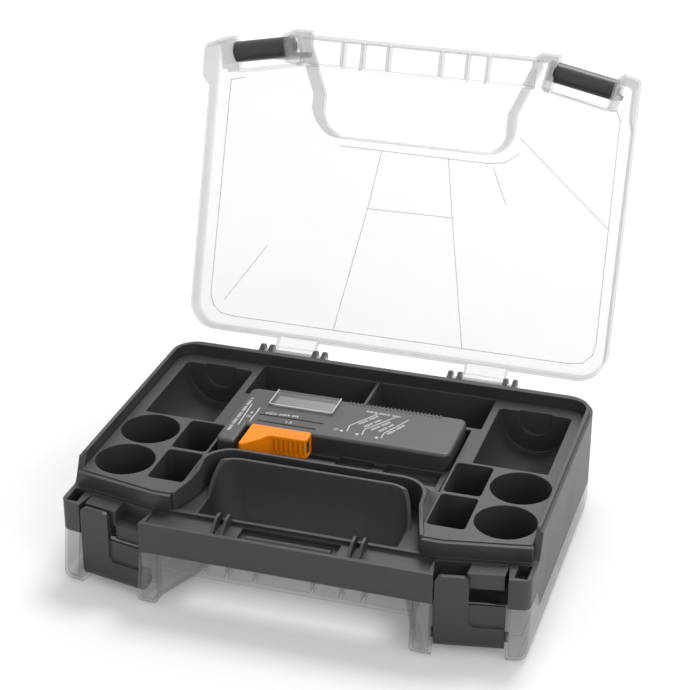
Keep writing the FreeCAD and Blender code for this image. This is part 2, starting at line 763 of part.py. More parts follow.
def lower_tray():
    """The tray in the lower side: troughs for thin cells, with gaps for the upper tray's cups."""
    troughs = []
    span = pencil_pitch * (pencil_count - 1)
    for i in range(pencil_count):
        middle = (-span / 2 + i * pencil_pitch, pencil_front_y + pencil_length / 2)
        troughs.append(trough(middle, point(0, 1, 0), pencil_radius, pencil_length))
    side_x = inner_half - tray_gap - tray_wall - slim_length / 2 - 1.0
    for i in range(slim_count):
        y = slim_start_y + i * slim_pitch
        for x in (-side_x, side_x):
            troughs.append(trough((x, y), point(1, 0, 0), slim_radius, slim_length))
    tray = tray_blank().fuse([shell for shell, _ in troughs]).cut([space for _, space in troughs])
    gaps = []
    for y in round_hole_y:
        gap_radius = round_hole_radius + round_hole_wall + tray_gap
        gaps.append(cylinder(point(round_hole_x, y, 0), point(0, 0, 1), gap_radius, case_height))
    grow = tray_wall + tray_gap
    for ys in block_pocket_y:
        gaps.append(box((block_pocket_x[0] - grow, block_pocket_x[1] + grow),
                        (ys[0] - grow, ys[1] + grow), (0, case_height)))
    cuts = []
    for gap in gaps:
        cuts += both_sides(gap)
    largest = max(tray.cut(cuts).Solids, key=lambda solid: solid.Volume)
    return half_turn(largest.removeSplitter())


# ---- Lids ------------------------------------------------------------------------------------
def lean(z):
    """How far the lid's front stands out at height z."""
    return column_slope * (z - lid_low) / (case_height - lid_low)


def lid_block(inset, low):
    """The lid's outer form without its openings, moved inwards by inset, from low to its face."""
    high = case_height - inset
    wires = [plan_face(case_outline(inset, lean(z)), z).OuterWire for z in (low, high)]
    return Part.makeLoft(wires, True, True)


def lid_hand_prism(grow, low, high):
    """The lid's hand hole, moved outwards by grow."""
    front, back = lid_hand_taper_y
    return plan_prism(mirror_outline([
        (lid_hand_half[0] + grow, bar_front - column_slope - over, 0.0),
        (lid_hand_half[0] + grow, front, 0.0),
        (lid_hand_half[1] + grow, back, 0.0),
        (lid_hand_half[1] + grow, lid_hand_back + grow, lid_hand_radius + grow),
    ]), low, high)


def lid_form(inset, low):
    """The lid's form with its hand hole and rounded face edges, moved inwards by inset."""
    form = lid_block(inset, low).cut(lid_hand_prism(inset, low - over, case_height + over))
    top = case_height - inset
    edges = [edge for edge in form.Edges if all(abs(vertex.Z - top) < 1e-6 for vertex in edge.Vertexes)]
    return form.makeFillet(lid_round - inset, edges)


def lid_bay_block(low):
    """The right latch bay of the lid with the walls round it."""
    return bay_prism((bay_near - lid_wall, bay_far + lid_wall), (-over - column_slope, bay_depth + lid_wall),
                     low, case_height + over)


def lid_above_riser():
    """What the walls of the lid's right latch bay leave free for the riser."""
    return bay_prism((bay_near - 2 * lid_wall, bay_far + 2 * lid_wall),
                     (bay_depth - lid_gap, bay_depth + 2 * lid_wall), lid_low - over, riser_top + lid_gap)


def lid_bar():
    """The low bar of the lid that lies on the handle bar, with its ribs."""
    top = lid_low + lid_bar_height
    width = (-lid_hand_half[0] - lid_wall, lid_hand_half[0] + lid_wall)
    front = bar_front - column_slope - over
    outer = lid_block(0.0, lid_low).common(box(width, (front, lid_bar_back), (lid_low, top)))
    hollow = lid_block(lid_wall, lid_low - over).common(
        box(width, (front, lid_bar_back - lid_wall), (lid_low - over, top - lid_wall)))
    ribs = []
    for x in (lid_mid_rib_x,) + lid_clip_x:
        ribs += both_sides(box((x - lid_rib / 2, x + lid_rib / 2), (front, lid_bar_back), (lid_low, top)))
    return outer.cut(hollow).fuse([rib.common(outer) for rib in ribs])


def lid_below():
    """What the lid leaves free for the body frame's ramps, rim and trays."""
    slope = (rim_top - lug_top) / (ramp_top_y - ramp_foot_y)
    foot = ramp_foot_y - lid_ramp_setback
    top = foot + (lid_edge - lid_low) / slope
    front = foot - 3 * ramp_radius
    profile = side_prism([
        (front, lid_low - over, 0.0),
        (front, lid_low, 0.0),
        (foot, lid_low, ramp_radius),
        (top, lid_edge, 1.0),
        (body_back + over, lid_edge, 0.0),
        (body_back + over, lid_low - over, 0.0),
    ], -half_width - over, half_width + over)
    around_hand = plan_prism(cutout_outline(hand_wall, lid_bar_back - over), lid_low - over, case_height)
    under_hand = side_prism([
        (lid_bar_back, lid_low - over, 0.0),
        (lid_bar_back, lid_hand_low, 0.0),
        (hand_ramp_foot_y, lid_hand_low, 0.0),
        (hand_ramp_top_y, lid_hand_back_low, 0.0),
        (cutout_back + over, lid_hand_back_low, 0.0),
        (cutout_back + over, lid_low - over, 0.0),
    ], -lid_hand_half[0] - lid_wall, lid_hand_half[0] + lid_wall)
    return profile.cut(around_hand).fuse(under_hand)


def knuckle():
    """The lid's knuckle in the right hinge, with its arm and the tab that stops the opened lid."""
    near = hinge_ear_x[1] + hinge_ear_wall / 2 + knuckle_gap
    far = hinge_ear_x[2] - hinge_ear_wall / 2 - knuckle_gap
    root = body_back - lid_wall / 2
    arm = side_prism([
        (root, lid_edge + 0.2, 0.0),
        (hinge_axis_y, hinge_axis_z, 0.0),
        (hinge_axis_y + knuckle_radius * 0.6, hinge_axis_z + knuckle_radius * 0.8, 0.0),
        (root, lid_edge + 3 * knuckle_arm, 0.0),
    ], near, far)
    axis = point(near, hinge_axis_y, hinge_axis_z)
    drum = cylinder(axis, point(1, 0, 0), knuckle_radius, far - near)
    middle = (near + far) / 2
    reach = hinge_axis_y - body_back - stop_gap
    tab = box((middle - stop_tab_half, middle + stop_tab_half),
              (hinge_axis_y - reach, hinge_axis_y),
              (hinge_axis_z - stop_tab_wall / 2, hinge_axis_z + stop_tab_wall / 2))
    tab.rotate(point(0, hinge_axis_y, hinge_axis_z), point(1, 0, 0), upper_lid_open)
    hole = cylinder(point(near - over, hinge_axis_y, hinge_axis_z), point(1, 0, 0),
                    pin_radius + pin_clearance, far - near + 2 * over)
    return arm.fuse([drum, tab]), hole


def lid():
    """The upper lid, shut."""
    low = lid_low - over
    hollow = lid_form(lid_wall, low).cut(both_sides(lid_bay_block(low - over)))
    shell = lid_form(0.0, lid_low).cut(hollow)
    shell = shell.cut(lid_below()).fuse(lid_bar())
    bay = bay_prism((bay_near, bay_far), (-over - column_slope, bay_depth), low, case_height + over)
    shell = shell.cut(both_sides(bay) + both_sides(lid_above_riser()))
    fin_gap = box((lid_clip_x[0] + lid_rib / 2, lid_clip_x[1] - lid_rib / 2),
                  (lid_bar_back - 2 * lid_wall, lid_bar_back + over), (low, fin_top + lid_gap))
    arm, pin_hole = knuckle()
    shell = shell.cut(both_sides(fin_gap)).fuse(both_sides(arm))
    stub_start = point(*bay_plan(bay_near - 2 * lid_wall, barrel_setback), case_height - barrel_from_face)
    along = point(slant_cos, slant_sin, 0)
    stub_hole = cylinder(stub_start, along, stub_radius + stub_clearance,
                         bay_far - bay_near + 4 * lid_wall)
    return shell.cut(both_sides(pin_hole) + both_sides(stub_hole)).removeSplitter()


# ---- Latches ---------------------------------------------------------------------------------
def latch_at(side):
    """An upper latch, shut, in the right bay for side 1 and in the left one for side -1."""
    axis_z = case_height - barrel_from_face
    leg_near = latch_width - latch_leg_width
    front = [
        (0.0, axis_z, 0.0),
        (0.0, case_height - latch_plate_top, 1.5),
        (leg_near, case_height - latch_plate_top, latch_corner_radius),
        (leg_near, latch_tip, latch_tip_chamfer),
        (latch_width, latch_tip, latch_tip_chamfer),
        (latch_width, axis_z, 0.0),
    ]
    leg = rounded_face(front, lambda u, w: point(u, 0, w)).extrude(point(0, latch_wall, 0))
    along = point(1, 0, 0)
    barrel = cylinder(point(0, barrel_setback, axis_z), along, barrel_radius, latch_width)
    stubs = cylinder(point(-stub_reach, barrel_setback, axis_z), along, stub_radius,
                     latch_width + 2 * stub_reach)
    ridge = box((leg_near + 1, latch_width - 1), (latch_wall - 0.5, latch_wall + catch_ridge),
                (catch_ridge_top - catch_ridge_height, catch_ridge_top))
    web = box((0.0, leg_near + 0.5), (latch_web_inset, latch_wall),
              (case_height - latch_tip + latch_tip_gap, case_height - latch_plate_top + 0.5))
    latch = leg.fuse([barrel, stubs, ridge, web]).removeSplitter()
    margin = (bay_far - bay_near - latch_width) / 2
    if side > 0:
        start = bay_plan(bay_near + margin, 0.0)
    else:
        x, y = bay_plan(bay_far - margin, 0.0)
        start = (-x, y)
    latch.rotate(point(0, 0, 0), point(0, 0, 1), side * front_slant)
    latch.translate(point(*start, 0))
    return latch


def swung(latch, side):
    """An upper latch turned about its barrel from shut to fully open."""
    x, y = bay_plan(bay_near, barrel_setback)
    turned = latch.copy()
    turned.rotate(point(side * x, y, case_height - barrel_from_face),
                  point(slant_cos, side * slant_sin, 0), -latch_swing)
    return turned


# ---- Battery tester --------------------------------------------------------------------------
def tester_outline(front, inset=0.0):
    """Plan outline of the tester from a front line to its back."""
    half = tester_right - inset
    corner = max(tester_corner - inset, 0.5)
    return mirror_outline([(half, front + inset, corner), (half, tester_back - inset, corner)])


def tester_base():
    """Lower housing half: a tub whose front is the shelf that the slider runs on."""
    solid = plan_prism(tester_outline(tester_front), tester_bottom, tester_split)
    tub = plan_prism(tester_outline(tester_main_front, tester_wall), tester_bottom + tester_wall,
                     tester_split + over)
    under_shelf = box((tester_left + lobe_width, tester_right - tester_wall),
                      (tester_front + tester_wall, tester_main_front + tester_wall + 1),
                      (tester_bottom + tester_wall, tester_split - shelf_thickness))
    track = box(track_x, track_y, (tester_split - shelf_thickness + 1.0, tester_split + over))
    wells = [box(xs, well_y, (tester_split - well_depth, tester_split + over)) for xs in well_x]
    bosses = []
    for x, y in screw_places():
        bosses.append(cylinder(point(x, y, tester_bottom), point(0, 0, 1), screw_head_radius + 1.2,
                               tester_split - tester_bottom))
    solid = solid.cut([tub, under_shelf, track] + wells).fuse(bosses)
    heads = [cylinder(point(x, y, tester_bottom - over), point(0, 0, 1), screw_head_radius + 0.2,
                      over + screw_head_depth) for x, y in screw_places()]
    holes = [cylinder(point(x, y, tester_bottom - over), point(0, 0, 1), screw_radius + 0.15,
                      tester_split - tester_bottom + 2 * over) for x, y in screw_places()]
    return solid.cut(heads + holes).removeSplitter()


def screw_places():
    """The places of the tester's screws in plan."""
    x = tester_right - screw_inset
    return [(sign * x, y) for sign in (-1, 1) for y in (tester_main_front + screw_inset,
                                                        tester_back - screw_inset)]


def tester_cover():
    """Upper housing half, with the lobe beside the slider's left end."""
    solid = plan_prism(tester_outline(tester_main_front), tester_split, tester_top)
    lobe = plan_prism([
        (tester_left, lobe_front, tester_corner),
        (tester_left + lobe_width, lobe_front, 1.5),
        (tester_left + lobe_width, tester_main_front + tester_corner + 2, 0.0),
        (tester_left, tester_main_front + tester_corner + 2, 0.0),
    ], tester_split, tester_top)
    solid = solid.fuse(lobe).removeSplitter()
    top_edges = [edge for edge in solid.Edges
                 if all(abs(vertex.Z - tester_top) < 1e-6 for vertex in edge.Vertexes)]
    solid = solid.makeFillet(tester_top_round, top_edges)
    hollow = plan_prism(tester_outline(tester_main_front, tester_wall), tester_split - over,
                        tester_top - tester_wall)
    opening = box((window_x[0] + window_seat, window_x[1] - window_seat),
                  (window_y[0] + window_seat, window_y[1] - 2 * window_seat),
                  (tester_split, tester_top + over))
    rebate = box(window_x, (window_y[0], tester_back + over), (tester_top - 0.6, tester_top + over))
    floor = tester_top - groove_depth
    grooves = [box((tester_left + near, tester_left + far), ys, (floor, tester_top + over))
               for (near, far), ys in zip(groove_from_left, groove_y)]
    solid = solid.cut([hollow, opening, rebate] + grooves)
    bosses = []
    for x, y in screw_places():
        boss = cylinder(point(x, y, tester_split), point(0, 0, 1), screw_radius + 1.6,
                        tester_top - tester_split - tester_wall / 2)
        bosses.append(boss)
    holes = [cylinder(point(x, y, tester_split - over), point(0, 0, 1), screw_radius + 0.05,
                      over + screw_bite + 0.3) for x, y in screw_places()]
    studs = [cylinder(point(tester_left - over, y, (tester_split + tester_top) / 2), point(1, 0, 0),
                      stud_radius + 0.1, over + 2 * tester_wall) for y in stud_y]
    return solid.fuse(bosses).cut(holes + studs).removeSplitter()


def tester_window():
    """The raised clear window."""
    block = box(window_x, window_y, (tester_top - 0.6, tester_top + window_height))
    top_edges = [edge for edge in block.Edges
                 if all(vertex.Z > tester_top + 0.5 for vertex in edge.Vertexes)]
    return block.makeChamfer(0.5, top_edges)


def tester_display():
    """The dial plate just under the window."""
    xs = (window_x[0] + window_seat + 0.3, window_x[1] - window_seat - 0.3)
    ys = (window_y[0] + window_seat + 0.3, window_y[1] - 2 * window_seat - 0.3)
    return box(xs, ys, (display_low, tester_top - 0.6 - display_clearance))


def tester_board():
    """The circuit board on the bosses of the lower housing half, with its cut corners."""
    half = tester_right - tester_wall - 0.4
    corner = screw_inset + screw_head_radius + 1.0
    ys = (tester_main_front + tester_wall + 0.4, tester_back - tester_wall - 0.4)
    board = box((-half, half), ys, (board_low, board_low + board_thickness))
    notches = [cylinder(point(x, y, board_low - over), point(0, 0, 1), corner - 1.5, 2 * over)
               for x, y in screw_places()]
    chips = []
    first_chip = tester_right - chip_from_right
    for near in (first_chip, first_chip + chip_size[0] + chip_gap):
        chips.append(box((near, near + chip_size[0]), (ys[0] + 4, ys[0] + 4 + chip_size[1]),
                         (board_low + board_thickness - 0.1, board_low + board_thickness + chip_top)))
    legs = [box((x - 1.5, x + 1.5), (ys[0] + 12, ys[0] + 15), (tester_bottom + tester_wall, board_low + 0.1))
            for x in (tester_left / 3, tester_right / 3)]
    window_middle = (window_x[0] + window_x[1]) / 2
    post = box((window_middle - 3, window_middle + 3), (window_y[0] + 5, window_y[0] + 9),
               (board_low, display_low))
    return board.cut(notches).fuse(chips + legs + [post]).removeSplitter()


def tester_slider():
    """The slider: a block with a jaw at its left end, finger ribs and a tongue in the shelf's track."""
    low = tester_split + slider_gap
    back = tester_main_front - slider_gap
    near, far = slider_x
    block = plan_prism([
        (near, back, slider_round),
        (far, back, slider_round),
        (far, slider_grip_y, 2 * slider_round),
        (near + jaw_width[0], slider_grip_y, 3.0),
        (near + jaw_width[1], jaw_bend_y, slider_round),
        (near, slider_front, slider_round),
    ], low, slider_top)
    top_edges = [edge for edge in block.Edges
                 if all(abs(vertex.Z - slider_top) < 1e-6 for vertex in edge.Vertexes)]
    block = block.makeFillet(slider_edge, top_edges)
    grooves = []
    x = slider_rib_x[0]
    while x < slider_rib_x[1]:
        grooves.append(box((x, x + slider_rib_pitch / 2), (slider_grip_y - 1, slider_grip_y + 0.8),
                           (low + 1.2, slider_top - 1.6)))
        x += slider_rib_pitch
    tongue = box((near + tongue_inset, far - tongue_inset),
                 (track_y[0] + slider_gap, track_y[1] - slider_gap),
                 (tester_split - shelf_thickness + 1.0 + slider_gap, low + 0.5))
    seat = box((far - contact_depth, far + over), (contact_y[0] - 0.1, contact_y[1] + 0.1),
               (low + 0.9, slider_top - 1.9))
    return block.fuse(tongue).cut(grooves + [seat]).removeSplitter()


def slider_contact():
    """The metal plate in the slider's right end."""
    low = tester_split + slider_gap
    return box((slider_x[1] - contact_depth, slider_x[1] - contact_depth + contact_sheet), contact_y,
               (low + 1.0, slider_top - 2.0))


def fixed_contact():
    """The metal strips on the floors of the shelf's wells."""
    floor = tester_split - well_depth
    strips = [box((xs[0] + 0.3, xs[1] - 0.3), well_strip_y, (floor, floor + contact_sheet))
              for xs in well_x]
    return Part.makeCompound(strips)


def nine_volt_contacts():
    """The two metal discs in the left end for testing block cells."""
    discs = [cylinder(point(tester_left, y, (tester_split + tester_top) / 2), point(1, 0, 0),
                      stud_radius, tester_wall + 1.0) for y in stud_y]
    return Part.makeCompound(discs)


def tester_screws():
    """The screws that join the two halves, put in from below."""
    screws = []
    for x, y in screw_places():
        shank = cylinder(point(x, y, tester_bottom + 0.4), point(0, 0, 1), screw_radius,
                         tester_split - tester_bottom + screw_bite - 0.4)
        head = cylinder(point(x, y, tester_bottom + 0.4), point(0, 0, 1), screw_head_radius,
                        screw_head_depth - 0.4)
        slot = box((x - 1.6, x + 1.6), (y - 0.3, y + 0.3), (tester_bottom - 1, tester_bottom + 1.0))
        screws.append(head.fuse(shank).cut(slot))
    return Part.makeCompound(screws)


pieces = {
    "body_frame": body_frame,
    "upper_tray": upper_tray,
    "lower_tray": lower_tray,
    "upper_lid": lambda: opened(lid()),
    "lower_lid": lambda: half_turn(lid()),
    "upper_hinge_pins": hinge_pins,
    "lower_hinge_pins": lambda: half_turn(hinge_pins()),
    "upper_latch_left": lambda: opened(swung(latch_at(-1), -1)),
    "upper_latch_right": lambda: opened(swung(latch_at(1), 1)),
    "lower_latch_left": lambda: half_turn(latch_at(1)),
    "lower_latch_right": lambda: half_turn(latch_at(-1)),
    "tester_base": tester_base,
    "tester_cover": tester_cover,
    "tester_window": tester_window,
    "tester_display": tester_display,
    "tester_board": tester_board,
    "tester_slider": tester_slider,
    "slider_contact": slider_contact,
    "fixed_contact": fixed_contact,
    "nine_volt_contacts": nine_volt_contacts,
    "tester_screws": tester_screws,
}


def main():
    """Write every piece as a STEP file."""
    os.makedirs("parts", exist_ok=True)
    for name, make in pieces.items():
        shape = make()
        shape.exportStep("parts/" + name + ".step")
        print(name, len(shape.Solids), round(shape.Volume / 1000, 2), "cm3", shape.isValid())


if __name__ == "__main__":
    main()
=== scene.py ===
"""Dresses the two-sided battery organiser case: finishes, printed marks, panel lines and studio."""
import logging
import math
from dataclasses import dataclass, field
from enum import Enum
from typing import Callable, Optional, Sequence, Union

import bmesh
import bpy
from mathutils import Matrix, Vector


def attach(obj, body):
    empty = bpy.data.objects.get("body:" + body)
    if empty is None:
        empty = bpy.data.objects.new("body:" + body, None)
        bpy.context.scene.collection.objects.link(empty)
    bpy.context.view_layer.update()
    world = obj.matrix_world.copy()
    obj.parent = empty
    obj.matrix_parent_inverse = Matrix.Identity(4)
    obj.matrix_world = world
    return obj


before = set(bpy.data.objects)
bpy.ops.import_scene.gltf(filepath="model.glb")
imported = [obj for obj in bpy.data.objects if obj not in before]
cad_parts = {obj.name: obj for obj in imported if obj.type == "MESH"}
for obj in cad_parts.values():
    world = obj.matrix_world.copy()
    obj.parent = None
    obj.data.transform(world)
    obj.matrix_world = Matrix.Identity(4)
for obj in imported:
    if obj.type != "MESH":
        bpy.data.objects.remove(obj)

log = logging.getLogger("battery_case")
MM = 0.001
BEVEL_SAMPLES = 4
EDGE_GAIN = 7.0        # how fast the edge mask rises to 1
DASH_PITCH = 0.95      # from dash to dash, in dash heights
DASHES_IN_A_WORD = 6   # the last one is left out as a gap
Colour = tuple[float, float, float]
Point = tuple[float, float]
Place = tuple[float, float, float]


def to_linear(red: int, green: int, blue: int) -> Colour:
    """Turns a display colour into the linear colour that shaders take.

    Args:
        red: Red from 0 to 255.
        green: Green from 0 to 255.
        blue: Blue from 0 to 255.

    Returns:
        The colour in linear light.
    """
    def channel(value: int) -> float:
        """One channel in linear light."""
        share = value / 255
        return share / 12.92 if share <= 0.04045 else ((share + 0.055) / 1.055) ** 2.4
    return channel(red), channel(green), channel(blue)


# ---- Shader graphs ---------------------------------------------------------------------------
class Signal:
    """A number that comes out of a shader node, with the usual operators."""

    def __init__(self, graph: "Graph", socket: Optional[bpy.types.NodeSocket]) -> None:
        """Keeps the socket and the graph that it is in."""
        self.graph = graph
        self.socket = socket

    def _math(self, operation: str, first: "Number", second: "Number") -> "Signal":
        """Adds one Math node."""
        return self.graph.add("ShaderNodeMath", {"operation": operation}, [first, second])

    def __add__(self, other: "Number") -> "Signal":
        """Sum."""
        return self._math("ADD", self, other)

    __radd__ = __add__

    def __sub__(self, other: "Number") -> "Signal":
        """Difference."""
        return self._math("SUBTRACT", self, other)

    def __rsub__(self, other: "Number") -> "Signal":
        """Reflected difference."""
        return self._math("SUBTRACT", other, self)

    def __mul__(self, other: "Number") -> "Signal":
        """Product."""
        return self._math("MULTIPLY", self, other)

    __rmul__ = __mul__

    def __pow__(self, other: "Number") -> "Signal":
        """Power."""
        return self._math("POWER", self, other)


Number = Union[Signal, float]


class Graph:
    """The node tree of a material or of the world."""

    def __init__(self, owner: Union[bpy.types.Material, bpy.types.World]) -> None:
        """Empties the owner's node tree.

        Args:
            owner: The material or world to shade.
        """
        owner.use_nodes = True
        self.owner = owner
        self.tree = owner.node_tree
        self.tree.nodes.clear()

    @classmethod
    def named(cls, name: str) -> "Graph":
        """The graph of a new material."""
        return cls(bpy.data.materials.new(name))

    def add(self, kind: str, settings: Optional[dict] = None, inputs: Union[dict, Sequence, None] = None,
            output: Union[str, int] = 0) -> Signal:
        """Adds a node, sets it up and feeds its sockets.

        Args:
            kind: The node's type.
            settings: Attributes that are set before the sockets.
            inputs: Values or signals, by socket name or in order.
            output: Which output socket comes back.

        Returns:
            The chosen output as a signal.
        """
        node = self.tree.nodes.new(kind)
        for name, value in (settings or {}).items():
            if name == "stops":
                self._fill_ramp(node.color_ramp, value)
            else:
                setattr(node, name, value)
        pairs = inputs.items() if isinstance(inputs, dict) else enumerate(inputs or [])
        for key, value in pairs:
            if isinstance(value, Signal):
                self.tree.links.new(value.socket, node.inputs[key])
            else:
                node.inputs[key].default_value = value
        return Signal(self, node.outputs[output] if node.outputs else None)

    @staticmethod
    def _fill_ramp(ramp: bpy.types.ColorRamp, stops: Sequence[tuple[float, float]]) -> None:
        """Sets a grey ramp from (place, level) stops."""
        while len(ramp.elements) < len(stops):
            ramp.elements.new(0.5)
        for element, (place, level) in zip(ramp.elements, stops):
            element.position = place
            element.color = (level, level, level, 1.0)

    def place(self, scale: Place = (1.0, 1.0, 1.0)) -> Signal:
        """Object coordinates, scaled along each axis.

        Args:
            scale: The factor along x, y and z.

        Returns:
            The coordinates.
        """
        here = self.add("ShaderNodeTexCoord", output="Object")
        return self.add("ShaderNodeMapping", None, {"Vector": here, "Scale": scale})

    def noise(self, scale: float, detail: float = 3.0, roughness: float = 0.5) -> Signal:
        """Noise on Object coordinates.

        Args:
            scale: Blotches per metre.
            detail: Octaves.
            roughness: Strength of the fine octaves.

        Returns:
            The noise from 0 to 1.
        """
        sockets = {"Vector": self.place(), "Scale": scale, "Detail": detail, "Roughness": roughness}
        return self.add("ShaderNodeTexNoise", None, sockets)

    def blend(self, share: Number, first: Union[Colour, Signal],
              second: Union[Colour, Signal]) -> Signal:
        """Mixes two colours.

        Args:
            share: How much of the second colour.
            first: The colour at 0.
            second: The colour at 1.

        Returns:
            The mixed colour.
        """
        def whole(colour: Union[Colour, Signal]) -> Union[tuple, Signal]:
            """A colour with its fourth number."""
            return colour if isinstance(colour, Signal) else (*colour, 1.0)
        sockets = {0: share, 6: whole(first), 7: whole(second)}
        return self.add("ShaderNodeMix", {"data_type": "RGBA"}, sockets, output=2)

    def rounded(self, radius: float, bump: Optional[Signal] = None, depth: float = 0.0) -> Signal:
        """A normal with softened edges and, on top, a fine relief.

        Args:
            radius: Edge radius in metres.
            bump: Height of the relief.
            depth: Depth of the relief in metres.

        Returns:
            The normal.
        """
        soft = self.add("ShaderNodeBevel", {"samples": BEVEL_SAMPLES}, {"Radius": radius})
        if bump is None:
            return soft
        sockets = {"Height": bump, "Distance": depth, "Strength": 1.0, "Normal": soft}
        return self.add("ShaderNodeBump", None, sockets)

    def edges(self, radius: float) -> Signal:
        """A mask that is 1 along edges, where a corner's softened normal leaves the face's own.

        Args:
            radius: How far from an edge the mask reaches, in metres.

        Returns:
            The mask.
        """
        soft = self.add("ShaderNodeBevel", {"samples": BEVEL_SAMPLES}, {"Radius": radius})
        face = self.add("ShaderNodeNewGeometry", output="Normal")
        match = self.add("ShaderNodeVectorMath", {"operation": "DOT_PRODUCT"}, [soft, face],
                         output="Value")
        clamped = {"operation": "MULTIPLY", "use_clamp": True}
        return self.add("ShaderNodeMath", clamped, [1 - match, EDGE_GAIN])

    def principled(self, **inputs: Union[Number, tuple]) -> Signal:
        """Adds a Principled shader; underscores in names stand for spaces."""
        named = {}
        for key, value in inputs.items():
            if isinstance(value, tuple) and len(value) == 3:
                value = (*value, 1.0)
            named[key.replace("_", " ")] = value
        return self.add("ShaderNodeBsdfPrincipled", None, named)

    def finish(self, surface: Signal) -> bpy.types.Material:
        """Links the surface to the output.

        Args:
            surface: The shader.

        Returns:
            The finished material.
        """
        self.add("ShaderNodeOutputMaterial", None, {"Surface": surface})
        return self.owner


# ---- Finishes --------------------------------------------------------------------------------
@dataclass(frozen=True)
class MouldedPlastic:
    """Opaque plastic with a spark-eroded surface, faint handling marks, soft edges and a painted
    highlight along them.
    """

    name: str
    colour: Colour
    roughness: float = 0.42
    grain: float = 2600.0
    grain_depth: float = 0.00004
    mottle: float = 0.18
    specular: float = 0.5
    edge: float = 0.0006
    # painted highlight: how far the colour lightens along the edges
    edge_highlight: float = 0.30
    highlight_reach: float = 1.5
    dust_share: float = 0.12
    cloud_rough: float = 0.16
    grain_rough: float = 0.08

    def build(self) -> bpy.types.Material:
        """Makes the material.

        Returns:
            The material.
        """
        graph = Graph.named(self.name)
        cloud = graph.noise(22.0, 4.0, 0.6)
        grain = graph.noise(self.grain, 2.0, 0.6)
        dust = graph.add("ShaderNodeValToRGB", {"stops": [(0.62, 0.0), (0.78, 1.0)]},
                         {"Fac": graph.noise(900.0, 5.0, 0.75)})
        darker = tuple(level * (1 - self.mottle) for level in self.colour)
        lighter = tuple(level * (1 + self.mottle) for level in self.colour)
        base = graph.blend(cloud, darker, lighter)
        # a lighter tone, used for the dust and for the painted edge highlight
        dust_and_highlight = tuple(min(level * 2.2 + 0.01, 1.0) for level in self.colour)
        base = graph.blend(dust * self.dust_share, base, dust_and_highlight)
        # painted highlight: the colour is lightened along every edge, standing in for the light that the
        # rounded edges catch
        base = graph.blend(graph.edges(self.edge * self.highlight_reach) * self.edge_highlight, base, dust_and_highlight)
        middle = (self.cloud_rough + self.grain_rough) / 2
        rough = cloud * self.cloud_rough + grain * self.grain_rough + (self.roughness - middle)
        shader = graph.principled(Base_Color=base, Roughness=rough, Specular_IOR_Level=self.specular,
                                  Normal=graph.rounded(self.edge, grain, self.grain_depth))
        return graph.finish(shader)


@dataclass(frozen=True)
class ClearPlastic:
    """Clear styrene: see-through face on, with painted shade that greys the tint where the wall is seen
    edge on and along its rims.
    """

    name: str
    tint: Colour = (0.40, 0.405, 0.42)
    face_alpha: float = 0.125
    edge_alpha: float = 0.85
    edge_power: float = 3.0
    edge_shade: float = 0.32
    rim_width: float = 0.0005
    rim_alpha: float = 0.40
    smear_alpha: float = 0.03
    smear_rough: float = 0.08
    roughness: float = 0.03
    ior: float = 1.58

    def build(self) -> bpy.types.Material:
        """Makes the material.

        Returns:
            The material.
        """
        graph = Graph.named(self.name)
        facing = graph.add("ShaderNodeLayerWeight", None, {"Blend": 0.5}, output="Facing")
        smear = graph.noise(35.0, 3.0, 0.6)
        alpha = facing ** self.edge_power * (self.edge_alpha - self.face_alpha) + self.face_alpha
        rim = graph.edges(self.rim_width)
        alpha = alpha + (smear - 0.5) * self.smear_alpha + rim * self.rim_alpha
        # painted shade: the tint darkens towards edge-on views and along the rims, standing in for the
        # dark lines that refraction gives clear plastic
        shaded_tint = tuple(level * self.edge_shade for level in self.tint)
        base = graph.blend(rim, graph.blend(facing ** 2.0, self.tint, shaded_tint), shaded_tint)
        rough = smear * self.smear_rough + self.roughness
        shader = graph.principled(Base_Color=base, Roughness=rough, IOR=self.ior, Alpha=alpha)
        return graph.finish(shader)


@dataclass(frozen=True)
class Metal:
    """Bare or plated metal with fine drawn scratches."""

    name: str
    colour: Colour
    roughness: float = 0.3
    rough_range: float = 0.2
    scratches: Place = (60.0, 4000.0, 4000.0)
    scratch_depth: float = 0.00002
    groove: float = 0.8
    edge: float = 0.0002

    def build(self) -> bpy.types.Material:
        """Makes the material.

        Returns:
            The material.
        """
        graph = Graph.named(self.name)
        drawn = graph.place(self.scratches)
        lines = graph.add("ShaderNodeTexNoise", None, {"Vector": drawn, "Scale": 1.0, "Detail": 3.0})
        base = graph.blend(lines, tuple(level * self.groove for level in self.colour), self.colour)
        rough = lines * self.rough_range + self.roughness
        shader = graph.principled(Base_Color=base, Metallic=1.0, Roughness=rough,
                                  Normal=graph.rounded(self.edge, lines, self.scratch_depth))
        return graph.finish(shader)


@dataclass(frozen=True)
class Ink:
    """Printed ink, worn through in places."""

    name: str
    colour: Colour
    worn: Colour
    wear_share: float = 0.6
    wear_rough: float = 0.2
    roughness: float = 0.45

    def build(self) -> bpy.types.Material:
        """Makes the material.

        Returns:
            The material.
        """
        graph = Graph.named(self.name)
        wear = graph.add("ShaderNodeValToRGB", {"stops": [(0.45, 0.0), (0.75, 1.0)]},
                         {"Fac": graph.noise(1500.0, 4.0, 0.7)})
        base = graph.blend(wear * self.wear_share, self.colour, self.worn)
        shader = graph.principled(Base_Color=base, Roughness=wear * self.wear_rough + self.roughness)
        return graph.finish(shader)


